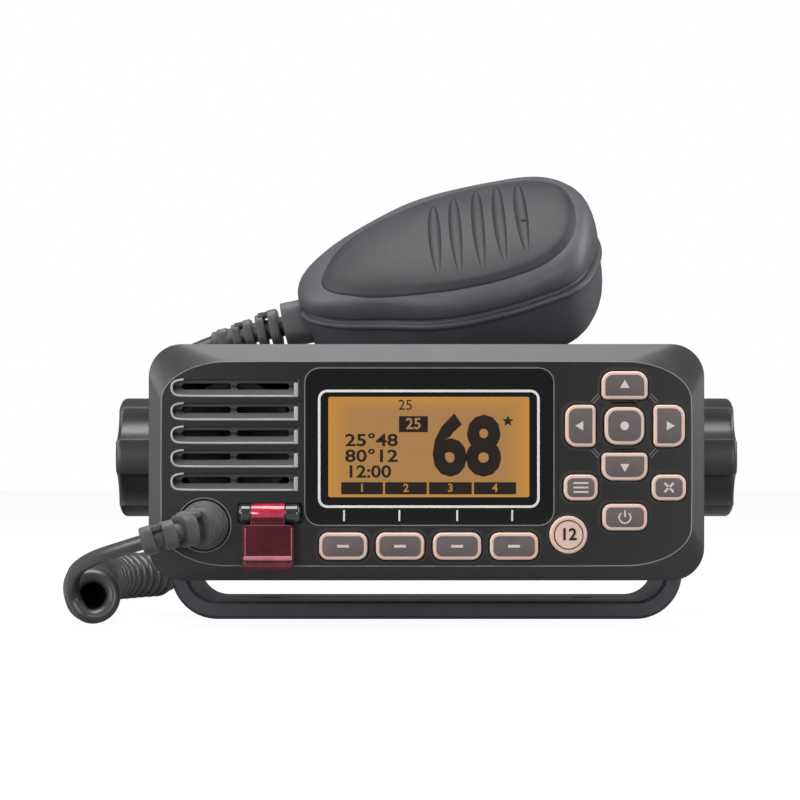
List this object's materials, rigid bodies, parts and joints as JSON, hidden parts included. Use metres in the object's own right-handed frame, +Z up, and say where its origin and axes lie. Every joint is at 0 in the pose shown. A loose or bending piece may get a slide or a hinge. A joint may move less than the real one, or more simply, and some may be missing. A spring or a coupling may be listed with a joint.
{
  "type": "vhf marine radio",
  "caption": "Marine VHF radio in a tilting yoke with clamp knobs, backlit display, keypad, covered distress button, finned chassis and corded fist microphone lying on top.",
  "frame": {"origin": "centre of the bracket base's underside, on the mounting surface", "axes": "+X to the right of someone facing the panel, +Y away from them, +Z up; the panel looks along -Y"},
  "size_m": [0.2131, 0.2073, 0.1361],
  "materials": {
    "panel_plastic": "moulded ABS, fine satin texture",
    "chassis_metal": "die-cast aluminium, black powder coat",
    "bracket_plastic": "moulded glass-filled nylon, satin",
    "knob_plastic": "moulded nylon, satin",
    "window_acrylic": "acrylic, black back print round a clear field",
    "lcd_glass": "liquid crystal glass, amber backlight",
    "light_guide": "clear acrylic light guide",
    "keycap_plastic": "translucent key cap, brown-grey face, pale rim",
    "silicone": "translucent silicone rubber",
    "black_rubber": "moulded rubber, matt",
    "board_epoxy": "glass epoxy circuit board",
    "steel": "stainless steel",
    "brass": "machined brass",
    "nickel": "nickel-plated brass",
    "cone_paper": "polypropylene cone",
    "module_epoxy": "epoxy moulded module",
    "red_plastic": "red moulded plastic",
    "cover_plastic": "dark red translucent plastic",
    "ear_plastic": "clear grey-green plastic",
    "washer_plastic": "nylon",
    "ribbon_plastic": "polyester flat cable",
    "mic_plastic": "moulded ABS, fine satin texture",
    "cord_plastic": "polyurethane cord jacket"
  },
  "bodies": {
    "bracket": {"bracket": "bracket_plastic"},
    "radio": {"front_panel": "panel_plastic", "chassis": "chassis_metal", "display_window": "window_acrylic", "lcd_panel": "lcd_glass", "light_guide": "light_guide", "keypad_mat": "silicone", "front_board": "board_epoxy", "speaker_frame": "steel", "speaker_cone": "cone_paper", "panel_seal": "black_rubber", "main_board": "board_epoxy", "shield_can": "steel", "power_module": "module_epoxy", "ribbon_cable": "ribbon_plastic", "board_screws": "steel", "panel_screws": "steel", "antenna_socket": "nickel", "antenna_nut": "nickel", "power_gland": "black_rubber", "accessory_gland": "black_rubber", "pivot_bushes": "brass", "friction_washers": "washer_plastic", "hinge_ears": "ear_plastic", "hinge_pin": "steel", "cord_gland": "black_rubber", "panel_boot": "black_rubber", "cord_front_tail": "cord_plastic", "cord_coil": "cord_plastic", "cord_rise": "cord_plastic", "cord_mic_tail": "cord_plastic"},
    "knob_left": {"knob_left": "knob_plastic", "knob_stud_left": "steel"},
    "knob_right": {"knob_right": "knob_plastic", "knob_stud_right": "steel"},
    "distress_cover": {"distress_cover": "cover_plastic"},
    "distress_button": {"distress_button": "red_plastic"},
    "mic": {"mic_front_shell": "mic_plastic", "mic_rear_shell": "mic_plastic", "mic_board": "board_epoxy", "mic_element": "nickel", "mic_hanger_button": "nickel", "mic_screws": "steel", "mic_boot": "black_rubber"},
    "mic_ptt": {"mic_ptt_button": "black_rubber"},
    "mic_key_up": {"mic_key_up": "black_rubber"},
    "mic_key_down": {"mic_key_down": "black_rubber"},
    "soft_key_1": {"soft_key_1": "keycap_plastic"},
    "soft_key_2": {"soft_key_2": "keycap_plastic"},
    "soft_key_3": {"soft_key_3": "keycap_plastic"},
    "soft_key_4": {"soft_key_4": "keycap_plastic"},
    "key_up": {"key_up": "keycap_plastic"},
    "key_down": {"key_down": "keycap_plastic"},
    "key_left": {"key_left": "keycap_plastic"},
    "key_right": {"key_right": "keycap_plastic"},
    "key_enter": {"key_enter": "keycap_plastic"},
    "key_menu": {"key_menu": "keycap_plastic"},
    "key_clear": {"key_clear": "keycap_plastic"},
    "key_power": {"key_power": "keycap_plastic"},
    "key_channel": {"key_channel": "keycap_plastic"}
  },
  "joints": [
    {"name": "radio_tilt", "type": "hinge", "parent": "bracket", "child": "radio", "pos_m": [0, 0, 0.0489], "axis": [1, 0, 0], "range_deg": [-25, 11]},
    {"name": "knob_left_turn", "type": "hinge", "parent": "radio", "child": "knob_left", "pos_m": [-0.087, 0, 0.0489], "axis": [-1, 0, 0], "continuous": true},
    {"name": "knob_right_turn", "type": "hinge", "parent": "radio", "child": "knob_right", "pos_m": [0.087, 0, 0.0489], "axis": [1, 0, 0], "continuous": true},
    {"name": "distress_cover_hinge", "type": "hinge", "parent": "radio", "child": "distress_cover", "pos_m": [-0.0442, -0.0667, 0.0326], "axis": [-1, 0, 0], "range_deg": [0, 105], "stiffness_Nm_per_rad": 0.0005},
    {"name": "distress_press", "type": "slide", "parent": "radio", "child": "distress_button", "axis": [0, 1, 0], "range_m": [0, 0.0007], "stiffness_N_per_m": 700},
    {"name": "mic_lift", "type": "slide", "parent": "radio", "child": "mic", "axis": [0, 0, 1], "range_m": [0, 0.06]},
    {"name": "mic_ptt_press", "type": "slide", "parent": "mic", "child": "mic_ptt", "axis": [0.1258, -0.829, -0.5449], "range_m": [0, 0.0015], "stiffness_N_per_m": 900},
    {"name": "mic_key_up_press", "type": "slide", "parent": "mic", "child": "mic_key_up", "axis": [0.1258, -0.829, -0.5449], "range_m": [0, 0.0008], "stiffness_N_per_m": 600},
    {"name": "mic_key_down_press", "type": "slide", "parent": "mic", "child": "mic_key_down", "axis": [0.1258, -0.829, -0.5449], "range_m": [0, 0.0008], "stiffness_N_per_m": 600},
    {"name": "soft_key_1_press", "type": "slide", "parent": "radio", "child": "soft_key_1", "axis": [0, 1, 0], "range_m": [0, 0.0007], "stiffness_N_per_m": 700},
    {"name": "soft_key_2_press", "type": "slide", "parent": "radio", "child": "soft_key_2", "axis": [0, 1, 0], "range_m": [0, 0.0007], "stiffness_N_per_m": 700},
    {"name": "soft_key_3_press", "type": "slide", "parent": "radio", "child": "soft_key_3", "axis": [0, 1, 0], "range_m": [0, 0.0007], "stiffness_N_per_m": 700},
    {"name": "soft_key_4_press", "type": "slide", "parent": "radio", "child": "soft_key_4", "axis": [0, 1, 0], "range_m": [0, 0.0007], "stiffness_N_per_m": 700},
    {"name": "key_up_press", "type": "slide", "parent": "radio", "child": "key_up", "axis": [0, 1, 0], "range_m": [0, 0.0007], "stiffness_N_per_m": 700},
    {"name": "key_down_press", "type": "slide", "parent": "radio", "child": "key_down", "axis": [0, 1, 0], "range_m": [0, 0.0007], "stiffness_N_per_m": 700},
    {"name": "key_left_press", "type": "slide", "parent": "radio", "child": "key_left", "axis": [0, 1, 0], "range_m": [0, 0.0007], "stiffness_N_per_m": 700},
    {"name": "key_right_press", "type": "slide", "parent": "radio", "child": "key_right", "axis": [0, 1, 0], "range_m": [0, 0.0007], "stiffness_N_per_m": 700},
    {"name": "key_enter_press", "type": "slide", "parent": "radio", "child": "key_enter", "axis": [0, 1, 0], "range_m": [0, 0.0007], "stiffness_N_per_m": 700},
    {"name": "key_menu_press", "type": "slide", "parent": "radio", "child": "key_menu", "axis": [0, 1, 0], "range_m": [0, 0.0007], "stiffness_N_per_m": 700},
    {"name": "key_clear_press", "type": "slide", "parent": "radio", "child": "key_clear", "axis": [0, 1, 0], "range_m": [0, 0.0007], "stiffness_N_per_m": 700},
    {"name": "key_power_press", "type": "slide", "parent": "radio", "child": "key_power", "axis": [0, 1, 0], "range_m": [0, 0.0007], "stiffness_N_per_m": 700},
    {"name": "key_channel_press", "type": "slide", "parent": "radio", "child": "key_channel", "axis": [0, 1, 0], "range_m": [0, 0.0007], "stiffness_N_per_m": 700}
  ]
}
